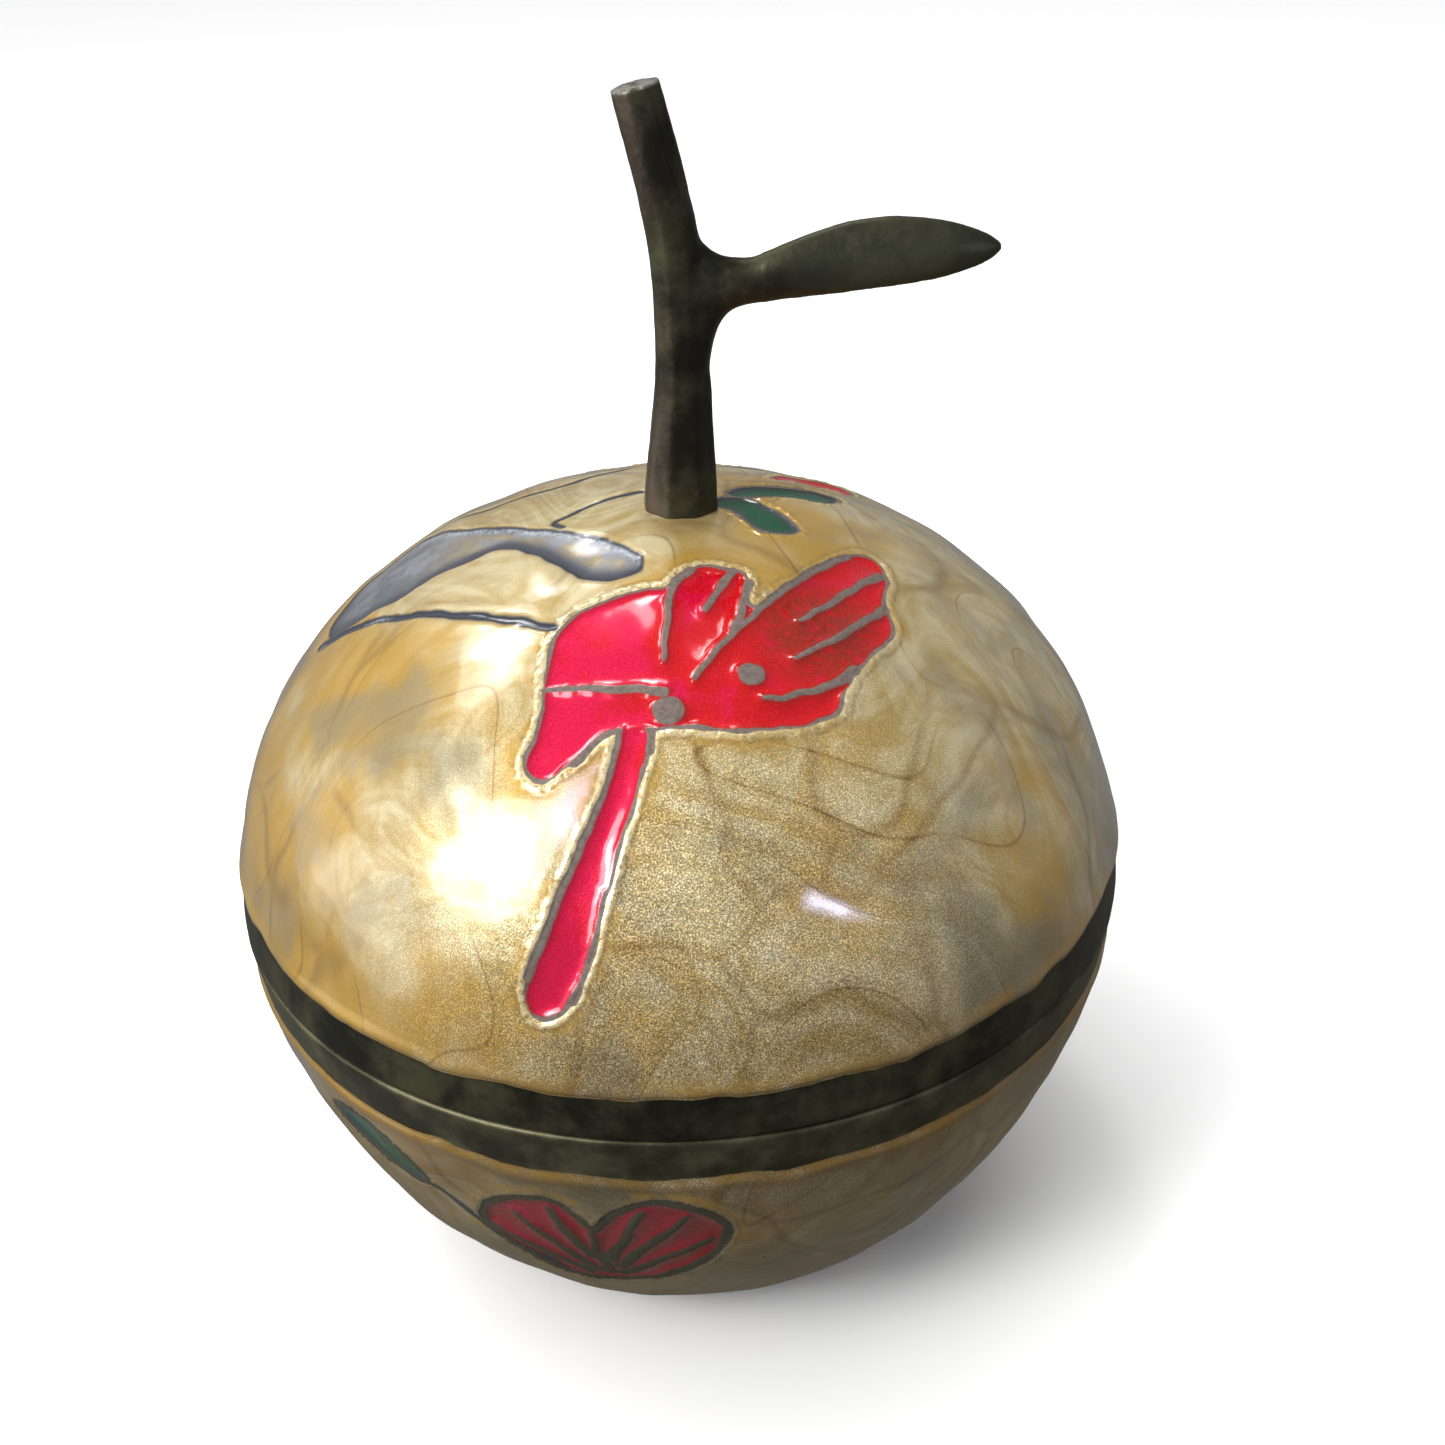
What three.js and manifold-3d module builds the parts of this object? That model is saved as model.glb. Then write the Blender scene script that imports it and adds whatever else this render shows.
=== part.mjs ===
// A round enamelled brass box in the shape of a fruit: a bowl, a domed lid that lifts off, and a cast
// twig with one leaf that serves as the lid's handle.
// Millimetres, +Z up. The origin is the middle of the underside, and the leaf points along +X.
import * as THREE from 'three';
import Module from 'manifold-3d';
import { mergeVertices } from 'three/addons/utils/BufferGeometryUtils.js';

// Driving dimensions of the two shells
const seamRadius = 44.8;        // bare metal rims where lid and bowl meet
const bowlDepth = 39;           // underside to seam
const wall = 1.6;
const enamelRise = 0.3;         // the enamel fields stand this proud of the bare rims
const enamelEdge = 0.5;         // height over which an enamel field rounds down to the rim
const lidRim = 4.1;             // height of the lid's bare rim
const bowlRim = 4.6;            // height of the bowl's bare rim
const rimChamfer = 0.3;         // broken edge on both rims, which draws the seam line
const seamGap = 0.15;           // hairline between the two rims

// The two enamel surfaces in section. Each curve starts at the seam and closes on the axis after rise;
// its widest circle would lie drop beyond the seam, and a power over 2 fills out the shoulder.
const lidCurve = { rise: 36.7, drop: 10.8, power: 2.59 };
const bowlCurve = { rise: 49.1, drop: 13, power: 2.44 };

// The upright lip inside the bowl's rim that keeps the lid in place
const lipHeight = 3;
const lipRoot = 4;              // how far the lip's ring reaches down inside the bowl
const lipEase = 1.5;            // height over which the ring's foot meets the bowl's wall
const registerEase = 3;         // height over which the lid's straight rim meets its dome
const lipThickness = 1.2;
const lipClearance = 0.25;

// Driving dimensions of the cast handle
const handleGap = 0.15;         // hairline between crown and foot
const footOffset = 1.2;         // the foot was set a little off the crown's centre
const stemHeight = 36.6;
const footRadius = 3.65;
const stemRadius = 2.85;        // above the foot's flare
const tipRadius = 2.2;          // at the sawn end
const footFlareHeight = 13;
const branchHeight = 20.4;      // foot to the middle of the side branch
const branchRadius = 2;
const branchThickness = 1.6;    // half of the branch's depth, front to back
const branchReach = 7;          // stem centre to the start of the leaf blade
const forkFillet = 0.9;         // how quickly the fork's fillets die away along the branch
const forkSpread = 4.1;         // extra half height of the branch where it leaves the stem
const forkDrop = 2.6;           // the fillet below the branch is this much deeper than the one above
const forkDepth = 0.5;          // extra half depth of the branch where it leaves the stem
const leafLength = 21.7;
const leafHalfWidth = 2.8;
const leafHalfThickness = 1.15;
const leafRise = 2.2;           // how far the leaf's middle line climbs above the branch
const leafTwistDeg = 20;        // the blade's upper edge leans back by this much

// Mesh fineness
const roundSegments = 64;
const curveSteps = 13;
const innerSteps = 8;
const stemSides = 24;
const stemSteps = 18;
const leafSides = 16;
const leafSteps = 26;

const wasm = await Module();
wasm.setup();

// A closed body turned from a profile of [radius, height] points.
function turned(profile) {
  const points = profile.map(([radius, height]) => new THREE.Vector2(radius, height));
  return new THREE.LatheGeometry(points, roundSegments).rotateX(Math.PI / 2);
}

// Radius of an enamel surface at a distance from the seam.
function skinRadius(distance, { rise, drop, power }) {
  const width = (place) => Math.sqrt(1 - ((place + drop) / (rise + drop)) ** power);
  return (seamRadius + enamelRise) * width(distance) / width(0);
}

// Points on an enamel surface between two distances from the seam, closer together near the pole.
function skinPoints(curve, from, to, steps) {
  const start = Math.asin(from / curve.rise);
  const end = Math.asin(to / curve.rise);
  return Array.from({ length: steps + 1 }, (_, i) => {
    const distance = i === steps ? to : curve.rise * Math.sin(start + (end - start) * i / steps);
    return [skinRadius(distance, curve), distance];
  });
}

// The inside of a wall: each point of the outside moved in at right angles to it.
function insetPoints(points) {
  return points.map(([radius, distance], i) => {
    if (radius < 1e-6) return [0, distance - wall];
    const [radiusBefore, distanceBefore] = points[Math.max(0, i - 1)];
    const [radiusAfter, distanceAfter] = points[Math.min(points.length - 1, i + 1)];
    const climb = distanceAfter - distanceBefore;
    const narrowing = radiusBefore - radiusAfter;
    const length = Math.hypot(climb, narrowing);
    return [radius - wall * climb / length, distance - wall * narrowing / length];
  });
}

const innerRadius = seamRadius - wall;

// Heights in the lid are measured up from its rim.
function lidGeometry() {
  const registerHeight = lipHeight + lipClearance;
  const domeStart = registerHeight + registerEase;
  const inner = insetPoints(skinPoints(lidCurve, domeStart, lidCurve.rise, innerSteps));
  return turned([
    [innerRadius, 0],
    [seamRadius - rimChamfer, 0],
    [seamRadius, rimChamfer],
    [skinRadius(lidRim, lidCurve) - enamelRise, lidRim],
    ...skinPoints(lidCurve, lidRim + enamelEdge, lidCurve.rise, curveSteps),
    ...inner.reverse(),
    [innerRadius, registerHeight],
    [innerRadius, 0],
  ]);
}

// Heights in the bowl are measured up from the underside.
function bowlGeometry() {
  const raised = ([radius, distance]) => [radius, bowlDepth - distance];
  const outer = skinPoints(bowlCurve, bowlRim + enamelEdge, bowlDepth, curveSteps);
  const inner = insetPoints(skinPoints(bowlCurve, lipRoot + lipEase, bowlDepth - 2 * wall, innerSteps));
  const lipRadius = innerRadius - lipClearance;
  const floorRadius = skinRadius(bowlDepth, bowlCurve) - wall;
  return turned([
    [0, 0],
    ...outer.reverse().map(raised),
    raised([skinRadius(bowlRim, bowlCurve) - enamelRise, bowlRim]),
    [seamRadius, bowlDepth - rimChamfer],
    [seamRadius - rimChamfer, bowlDepth],
    [lipRadius, bowlDepth],
    [lipRadius, bowlDepth + lipHeight],
    [lipRadius - lipThickness, bowlDepth + lipHeight],
    [lipRadius - lipThickness, bowlDepth - lipRoot],
    ...inner.map(raised),
    [floorRadius, wall],
    [0, wall],
  ]);
}

// A closed body through rings of points, each ring with the same number of points, with flat ends.
function lofted(rings) {
  const count = rings[0].length;
  const points = rings.flat();
  const middle = (ring) => ring.reduce((sum, p) => sum.add(p), new THREE.Vector3()).divideScalar(count);
  points.push(middle(rings[0]), middle(rings[rings.length - 1]));
  const firstCentre = points.length - 2;
  const lastCentre = points.length - 1;
  const lastRing = (rings.length - 1) * count;
  const index = [];
  for (let side = 0; side < count; side++) {
    const next = (side + 1) % count;
    index.push(firstCentre, next, side);
    index.push(lastCentre, lastRing + side, lastRing + next);
    for (let ring = 0; ring < rings.length - 1; ring++) {
      const here = ring * count;
      const above = here + count;
      index.push(here + side, here + next, above + next);
      index.push(here + side, above + next, above + side);
    }
  }
  return new THREE.BufferGeometry().setFromPoints(points).setIndex(index);
}

// The stem's section is an octagon with softened corners, as filed after casting.
function octagonShare(angle) {
  const facet = Math.PI / 4;
  const corner = 0.6;
  const turn = angle + facet * 0.3;
  const fromFlat = turn - facet * Math.round(turn / facet);
  const flat = Math.cos(facet / 2) / Math.cos(fromFlat);
  return 1 - corner * (1 - flat);
}

// The stem stands nearly upright to the fork, and leans away from the leaf above it.
function stemGeometry() {
  const line = new THREE.CatmullRomCurve3([
    new THREE.Vector3(footOffset, 0, 0),
    new THREE.Vector3(footOffset + 0.016 * stemHeight, 0, 0.33 * stemHeight),
    new THREE.Vector3(footOffset + 0.006 * stemHeight, 0, 0.65 * stemHeight),
    new THREE.Vector3(footOffset - 0.069 * stemHeight, 0, stemHeight),
  ]);
  const rings = [];
  for (let step = 0; step <= stemSteps; step++) {
    const share = step / stemSteps;
    const centre = line.getPointAt(share);
    const along = step === 0 ? new THREE.Vector3(0, 0, 1) : line.getTangentAt(share);
    const taper = THREE.MathUtils.lerp(stemRadius, tipRadius, share);
    const flare = (footRadius - stemRadius) * Math.max(0, 1 - centre.z / footFlareHeight);
    const across = new THREE.Vector3(along.z, 0, -along.x);
    const deep = new THREE.Vector3(0, 1, 0);
    rings.push(Array.from({ length: stemSides }, (_, i) => {
      const angle = 2 * Math.PI * i / stemSides;
      const radius = (taper + flare) * octagonShare(angle);
      return centre.clone()
        .addScaledVector(across, radius * Math.cos(angle))
        .addScaledVector(deep, radius * Math.sin(angle));
    }));
  }
  return lofted(rings);
}

// Half width of the leaf blade at a share of its length: it swells from the branch, then runs to a point.
function bladeHalfWidth(share) {
  const widest = 0.48;
  if (share < widest) {
    const swell = Math.sin(Math.PI / 2 * share / widest);
    return THREE.MathUtils.lerp(branchRadius, leafHalfWidth, swell);
  }
  const past = (share - widest) / (1 - widest);
  return leafHalfWidth * (1 - past ** 1.8) ** 0.75;
}

// The branch leaves the stem in a pair of fillets and carries the leaf, which thins out from the branch,
// climbs over the first part of its length and ends in a blunt point.
function leafGeometry() {
  const tipShare = 0.995;
  const thinShare = 0.35;
  const climbShare = 0.65;
  const root = 0.85 * stemRadius;
  const rings = [];
  for (let step = 0; step <= leafSteps; step++) {
    const reach = THREE.MathUtils.lerp(root, branchReach + tipShare * leafLength, step / leafSteps);
    const share = Math.max(0, (reach - branchReach) / leafLength);
    const fork = Math.exp(-Math.max(0, reach - stemRadius) / forkFillet);
    const halfHeight = bladeHalfWidth(share) + forkSpread * fork;
    const thin = THREE.MathUtils.smoothstep(share, 0, thinShare);
    const taper = Math.min(1, bladeHalfWidth(share) / branchRadius);
    const body = THREE.MathUtils.lerp(branchThickness, leafHalfThickness, thin) * taper;
    const halfDepth = body + forkDepth * fork;
    const climb = leafRise * Math.sin(Math.PI / 2 * Math.min(1, share / climbShare));
    const height = branchHeight + climb - forkDrop * fork;
    const twist = THREE.MathUtils.degToRad(leafTwistDeg) * thin;
    rings.push(Array.from({ length: leafSides }, (_, i) => {
      const angle = 2 * Math.PI * i / leafSides;
      const up = halfHeight / Math.cos(twist) * Math.cos(angle);
      const deep = halfDepth * Math.sin(angle);
      return new THREE.Vector3(
        footOffset + reach,
        up * Math.sin(twist) - deep * Math.cos(twist),
        height + up * Math.cos(twist) + deep * Math.sin(twist),
      );
    }));
  }
  return lofted(rings);
}

// A three.js geometry as a manifold solid.
function solidOf(geometry) {
  const bare = new THREE.BufferGeometry()
    .setAttribute('position', geometry.getAttribute('position'))
    .setIndex(geometry.index);
  const merged = mergeVertices(bare, 1e-4);
  return new wasm.Manifold(new wasm.Mesh({
    numProp: 3,
    vertProperties: merged.attributes.position.array,
    triVerts: new Uint32Array(merged.index.array),
  }));
}

// Stem, branch and leaf are one casting.
function handleGeometry() {
  const casting = solidOf(stemGeometry()).add(solidOf(leafGeometry())).getMesh();
  return new THREE.BufferGeometry()
    .setAttribute('position', new THREE.BufferAttribute(casting.vertProperties, 3))
    .setIndex(new THREE.BufferAttribute(casting.triVerts, 1));
}

function piece(name, geometry, height, material) {
  const mesh = new THREE.Mesh(geometry, new THREE.MeshStandardMaterial(material));
  mesh.name = name;
  mesh.position.z = height;
  return mesh;
}

const pearlEnamel = { color: 0xb9a36c, roughness: 0.28, metalness: 0.35 };
const darkBrass = { color: 0x38342a, roughness: 0.45, metalness: 0.85 };
const lidBase = bowlDepth + seamGap;

const box = new THREE.Group();
box.add(
  piece('bowl', bowlGeometry(), 0, pearlEnamel),
  piece('lid', lidGeometry(), lidBase, pearlEnamel),
  piece('twig_handle', handleGeometry(), lidBase + lidCurve.rise + handleGap, darkBrass),
);

export default box;
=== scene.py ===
import itertools
import math

import bmesh
import bpy
import numpy as np
from mathutils import Matrix, Vector, noise


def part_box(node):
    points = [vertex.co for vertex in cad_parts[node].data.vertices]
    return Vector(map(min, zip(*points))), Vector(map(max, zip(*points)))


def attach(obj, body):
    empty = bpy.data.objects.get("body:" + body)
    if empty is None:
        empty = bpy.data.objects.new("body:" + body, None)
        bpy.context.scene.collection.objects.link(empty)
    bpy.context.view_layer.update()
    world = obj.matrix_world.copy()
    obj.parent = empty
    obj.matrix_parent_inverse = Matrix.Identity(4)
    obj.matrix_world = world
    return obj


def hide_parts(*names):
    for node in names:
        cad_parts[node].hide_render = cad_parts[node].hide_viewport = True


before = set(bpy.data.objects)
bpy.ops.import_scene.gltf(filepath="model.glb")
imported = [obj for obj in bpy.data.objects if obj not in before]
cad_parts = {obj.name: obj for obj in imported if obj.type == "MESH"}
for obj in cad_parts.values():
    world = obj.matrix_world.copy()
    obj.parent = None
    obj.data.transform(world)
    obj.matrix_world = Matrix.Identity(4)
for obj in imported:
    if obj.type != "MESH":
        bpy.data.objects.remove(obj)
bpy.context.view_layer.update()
lidLow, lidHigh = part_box("lid")
_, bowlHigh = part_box("bowl")
twigLow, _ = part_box("twig_handle")

mm = 0.001                                  # pieces are modelled in millimetres and brought to metres last
scene = bpy.context.scene
scene.view_settings.view_transform = "Standard"
print("frame loaded")


# Camera at the photograph's viewing angle
cameraPlan = {
    "place": (0, -135.5, 133.0),
    "aim": (4.64, 0, 51.8),
    "rollDeg": -1.34,
    "lens": 38.79,
    "sensor": 36,
    "clipStart": 0.01,
}


def addCamera(plan):
    data = bpy.data.cameras.new("camera")
    data.lens = plan["lens"]
    data.sensor_width = plan["sensor"]
    data.clip_start = plan["clipStart"]
    camera = bpy.data.objects.new("camera", data)
    place = Vector(plan["place"]) * mm
    look = (Vector(plan["aim"]) * mm - place).to_track_quat("-Z", "Y").to_matrix()
    roll = Matrix.Rotation(math.radians(plan["rollDeg"]), 3, "Z")
    camera.matrix_world = Matrix.Translation(place) @ (look @ roll).to_4x4()
    scene.collection.objects.link(camera)
    scene.camera = camera


addCamera(cameraPlan)


# A shader value that takes part in sums, and the material it belongs to
class Val:
    def __init__(self, paint, socket):
        self.paint = paint
        self.socket = socket

    def math(self, operation, first, second):
        return self.paint.add("Math", {"operation": operation}, {0: first, 1: second})

    def __add__(self, other):
        return self.math("ADD", self, other)

    def __radd__(self, other):
        return self.math("ADD", other, self)

    def __sub__(self, other):
        return self.math("SUBTRACT", self, other)

    def __rsub__(self, other):
        return self.math("SUBTRACT", other, self)

    def __mul__(self, other):
        return self.math("MULTIPLY", self, other)

    def __rmul__(self, other):
        return self.math("MULTIPLY", other, self)

    def ramp(self, rimShade, high, start=0, end=1):
        settings = {"interpolation_type": "SMOOTHSTEP"}
        values = {"Value": self, "From Min": rimShade, "From Max": high, "To Min": start, "To Max": end}
        return self.paint.add("MapRange", settings, values)

    def within(self, softness):             # 1 where a signed distance is negative
        return self.ramp(softness, -softness)

    def fold(self, size):                   # up and down between 0 and a size
        return self.math("PINGPONG", self, size)

    def other(self, name):                  # another output of the same node
        return Val(self.paint, self.socket.node.outputs[name])

    def part(self, axis):
        return self.paint.add("SeparateXYZ", {}, {0: self}, axis)


class Paint:
    def __init__(self, name):
        self.material = bpy.data.materials.new(name)
        self.material.use_nodes = True
        self.tree = self.material.node_tree
        self.tree.nodes.clear()
        self.shader = self.tree.nodes.new("ShaderNodeBsdfPrincipled")
        output = self.tree.nodes.new("ShaderNodeOutputMaterial")
        self.tree.links.new(self.shader.outputs[0], output.inputs[0])

    def put(self, socket, value):
        if isinstance(value, Val):
            self.tree.links.new(value.socket, socket)
        else:
            socket.default_value = value

    def add(self, kind, settings=None, values=None, out=0):
        node = self.tree.nodes.new("ShaderNode" + kind)
        for key, value in (settings or {}).items():
            setattr(node, key, value)
        for key, value in (values or {}).items():
            self.put(node.inputs[key], value)
        return Val(self, node.outputs[out])

    def mix(self, factor, first, second, blend="MIX"):
        settings = {"data_type": "RGBA", "blend_type": blend, "clamp_factor": True}
        return self.add("Mix", settings, {0: factor, 6: first, 7: second}, 2)

    def place(self, perMm, stretch=(1, 1, 1), shift=(0, 0, 0)):
        if not hasattr(self, "objectPlace"):
            self.objectPlace = self.add("TexCoord", {}, {}, "Object")
        scale = [perMm / mm * share for share in stretch]
        return self.add("Mapping", {}, {"Vector": self.objectPlace, "Scale": scale, "Location": shift})

    def join(self, x, y, z=0.0):
        return self.add("CombineXYZ", {}, {0: x, 1: y, 2: z})

    def noise(self, vector, detail, roughness, distortion=0.0, out=0):
        values = {"Vector": vector, "Scale": 1, "Detail": detail, "Roughness": roughness,
                  "Distortion": distortion}
        return self.add("TexNoise", {}, values, out)

    def mask(self, name):                   # a signed distance or share that is stored on the mesh
        return self.add("Attribute", {"attribute_name": name}, {}, "Fac")

    def away(self, place):                  # millimetres from a place
        ends = {0: self.place(1), 1: place}
        return self.add("VectorMath", {"operation": "DISTANCE"}, ends, "Value")

    def bump(self, height, distance, strength):
        return self.add("Bump", {}, {"Height": height, "Distance": distance * mm, "Strength": strength})

    def shade(self, **values):
        for name, value in values.items():
            words = "".join(" " + c if c.isupper() else c for c in name).strip()
            self.put(self.shader.inputs[words], value)


def rgb(red, green, blue):
    return (red, green, blue, 1)


# Dark oxidised brass with worn, browner specks, for the rims and the twig, and on the twig a painted
# highlight of brown streaks down its left side
brassPlan = {
    "dark": rgb(0.026, 0.025, 0.017),
    "olive": rgb(0.086, 0.082, 0.046),
    "warm": rgb(0.13, 0.086, 0.050),
    "litBrown": rgb(0.133, 0.101, 0.077),
    "leafFace": rgb(0.072, 0.074, 0.045),
    "sawn": rgb(0.30, 0.29, 0.25),
    "metallic": 0.85,
    "roughness": (0.32, 0.52),
    "cloudPerMm": 0.16,
    "speckPerMm": 1.7,
    "streaksPerMm": 0.30,
    "pitsPerMm": 1.1,
    "pitDepth": 0.12,
    "litBrownSide": (1.2, -1.6),               # X where each look begins and where it is full
    "leafSide": (7.0, 14.0),
    "sawnFrom": (-0.35, -0.12),             # the same, along the stem from its top
}


def brassLook(paint, plan):
    cloud = paint.noise(paint.place(plan["cloudPerMm"]), 4, 0.6)
    speck = paint.noise(paint.place(plan["speckPerMm"]), 3, 0.6)
    colour = paint.mix(cloud.ramp(0.38, 0.68), plan["dark"], plan["olive"])
    colour = paint.mix(speck.ramp(0.58, 0.75) * cloud.ramp(0.4, 0.7), colour, plan["warm"])
    rough = cloud.ramp(0.3, 0.7, *plan["roughness"]) + speck * 0.08
    return colour, rough


# The pearl ground: brushed arcs of cream and gold, amber clouds and veins, and a fine metallic grain
pearlPlan = {
    "cream": rgb(0.56, 0.49, 0.31),
    "gold": rgb(0.37, 0.265, 0.095),
    "amber": rgb(0.43, 0.25, 0.035),
    "grey": rgb(0.22, 0.20, 0.14),
    "vein": rgb(0.19, 0.11, 0.032),
    "pit": rgb(0.03, 0.025, 0.015),
    "sparkle": rgb(2.3, 2.2, 2.0),          # multiplied in, as is the shadow
    "shadow": rgb(0.48, 0.44, 0.37),
    "border": rgb(0.66, 0.56, 0.33),
    "red": rgb(0.50, 0.0004, 0.004),
    "magenta": rgb(0.57, 0.0005, 0.044),
    "ruby": rgb(0.20, 0.018, 0.005),
    "glint": rgb(0.9, 0.06, 0.10),
    # pale pink beside the tube: part pink tint, part painted glare
    "pink": rgb(0.86, 0.60, 0.65),
    "green": rgb(0.004, 0.078, 0.030),
    "greenEdge": rgb(0.040, 0.052, 0.050),
    "steel": rgb(0.028, 0.033, 0.048),
    "steelDark": rgb(0.055, 0.055, 0.070),
    # painted highlight on the steel leaves' upper edges
    "steelHighlight": rgb(0.50, 0.53, 0.57),
    "silver": rgb(0.28, 0.285, 0.31),
    "steelMid": rgb(0.13, 0.14, 0.155),
    "wire": rgb(0.17, 0.135, 0.118),
    "wireDark": rgb(0.065, 0.052, 0.044),
    "inside": rgb(0.42, 0.29, 0.12),
    "metallic": 0.34,
    "roughness": (0.30, 0.44),
    "specular": 0.12,
    "coatRoughness": 0.09,
    "coatIor": 1.60,
    "grainPerMm": 8.0,
    "grainDepth": 0.045,
    "beadPerMm": 1.1,
    "crustPerMm": 2.4,
    "depthPerMm": 0.30,
    "bendPerMm": 0.023,                     # the long strokes, and how many lines a bend has
    "bendLines": 44,
    "bendVeins": 12,
    "driftPerMm": 0.09,
    "dabPerMm": 0.048,                      # the round dabs, and how many rings one has
    "dabRings": 11,
    "dabTurn": 20,
    "dabDrift": 6,
    "sway": (0.9, 0.9, 0.9),
    "swayPerMm": 0.045,
    "cloudPerMm": 0.05,
    "smudgePerMm": 0.07,
    "spotPerMm": 0.085,
    "glitterPlace": (2, -40, lidLow.z / mm + 12),
    "glitterReach": (36, 7),
    "rubyPlace": (12.5, -17.5, lidLow.z / mm + 31.5),
    "rubyReach": (8.0, 2.5),
    "amberSide": (-16, -34),                # X where each look begins and where it is full
    "greySide": (10, 38),
    "shadowSide": (-30, -10),
    "borderSide": (10, -2),
    "magentaSide": (8, -10),
    "hintSide": (-26, -14),
    "steelDarkSide": (-26, -34),
    "rimAmber": (2.4, 0.5),                 # the same, from the rim, the red, the blush and glare, and the leaf's edge
    "rimShadow": (11, 1),
    "halo": (2.4, 1.2),
    "borderEdge": (0.95, 0.60),
    "blushAndGlare": (1.0, -1.6),
    "leafShine": (-0.9, -1.9),
    "redSoft": 0.06,                        # softness of the edges
    "greenSoft": 0.08,
    "steelSoft": 0.20,
    "lineSoft": 0.05,
}


def pearlGround(paint, plan, grain):
    bend = paint.noise(paint.place(plan["bendPerMm"]), 1, 0.4, 0.6)       # the brush follows its contours
    drift = paint.noise(paint.place(plan["driftPerMm"], shift=(4, 2, 7)), 2, 0.5)
    strokes = paint.noise(paint.join(bend * plan["bendLines"], drift * 2.0), 3, 0.6)
    sway = paint.noise(paint.place(plan["swayPerMm"], shift=(2, 6, 3)), 2, 0.5, out=1)
    swayed = {0: sway, 1: plan["sway"], 2: paint.place(plan["dabPerMm"])}
    dab = {"Vector": paint.add("VectorMath", {"operation": "MULTIPLY_ADD"}, swayed), "Scale": 1,
           "Randomness": 0.9}
    reach = paint.add("TexVoronoi", {}, dab)                              # round dabs, side by side
    turn = reach.other("Color").part("X")
    overlap = paint.add("TexVoronoi", {"feature": "DISTANCE_TO_EDGE"}, dab)
    rings = paint.join(reach * plan["dabRings"], turn * plan["dabTurn"], drift * plan["dabDrift"])
    strokes = strokes * 0.5 + paint.noise(rings, 3, 0.6) * 0.5
    cloud = paint.noise(paint.place(plan["cloudPerMm"], shift=(3.1, 1.7, 0.4)), 3, 0.55)
    smudge = paint.noise(paint.place(plan["smudgePerMm"], shift=(9, 5, 2)), 3, 0.6)
    ground = paint.mix(strokes.ramp(0.36, 0.64) * 0.85, plan["gold"], plan["cream"])
    across = paint.place(1).part("X")
    side = across.ramp(*plan["amberSide"]) * 0.24            # more amber towards the left
    ground = paint.mix((cloud + side).ramp(0.50, 0.70) * 0.8, ground, plan["amber"])
    smudge = smudge + across.ramp(*plan["greySide"]) * 0.10  # and more grey towards the right
    ground = paint.mix(smudge.ramp(0.52, 0.70) * 0.6, ground, plan["grey"])
    vein = (bend * plan["bendVeins"]).fold(0.5).ramp(0.022, 0.0) * cloud.ramp(0.42, 0.54)
    vein = vein + overlap.ramp(0.040, 0.0) * cloud.ramp(0.38, 0.52) * 0.8
    ground = paint.mix(vein * 0.55, ground, plan["vein"])
    scatter = {"Vector": paint.place(plan["spotPerMm"]), "Scale": 1, "Randomness": 1}
    spots = paint.add("TexVoronoi", {}, scatter)
    ground = paint.mix(spots.ramp(0.030, 0.018) * 0.9, ground, plan["pit"])
    glitter = paint.away(plan["glitterPlace"]).ramp(*plan["glitterReach"], 0.10, 1)
    ground = paint.mix(grain.ramp(0.50, 0.32) * glitter * 0.9, ground, plan["shadow"], "MULTIPLY")
    ground = paint.mix(grain.ramp(0.50, 0.70) * glitter, ground, plan["sparkle"], "MULTIPLY")
    return ground, glitter


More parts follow.
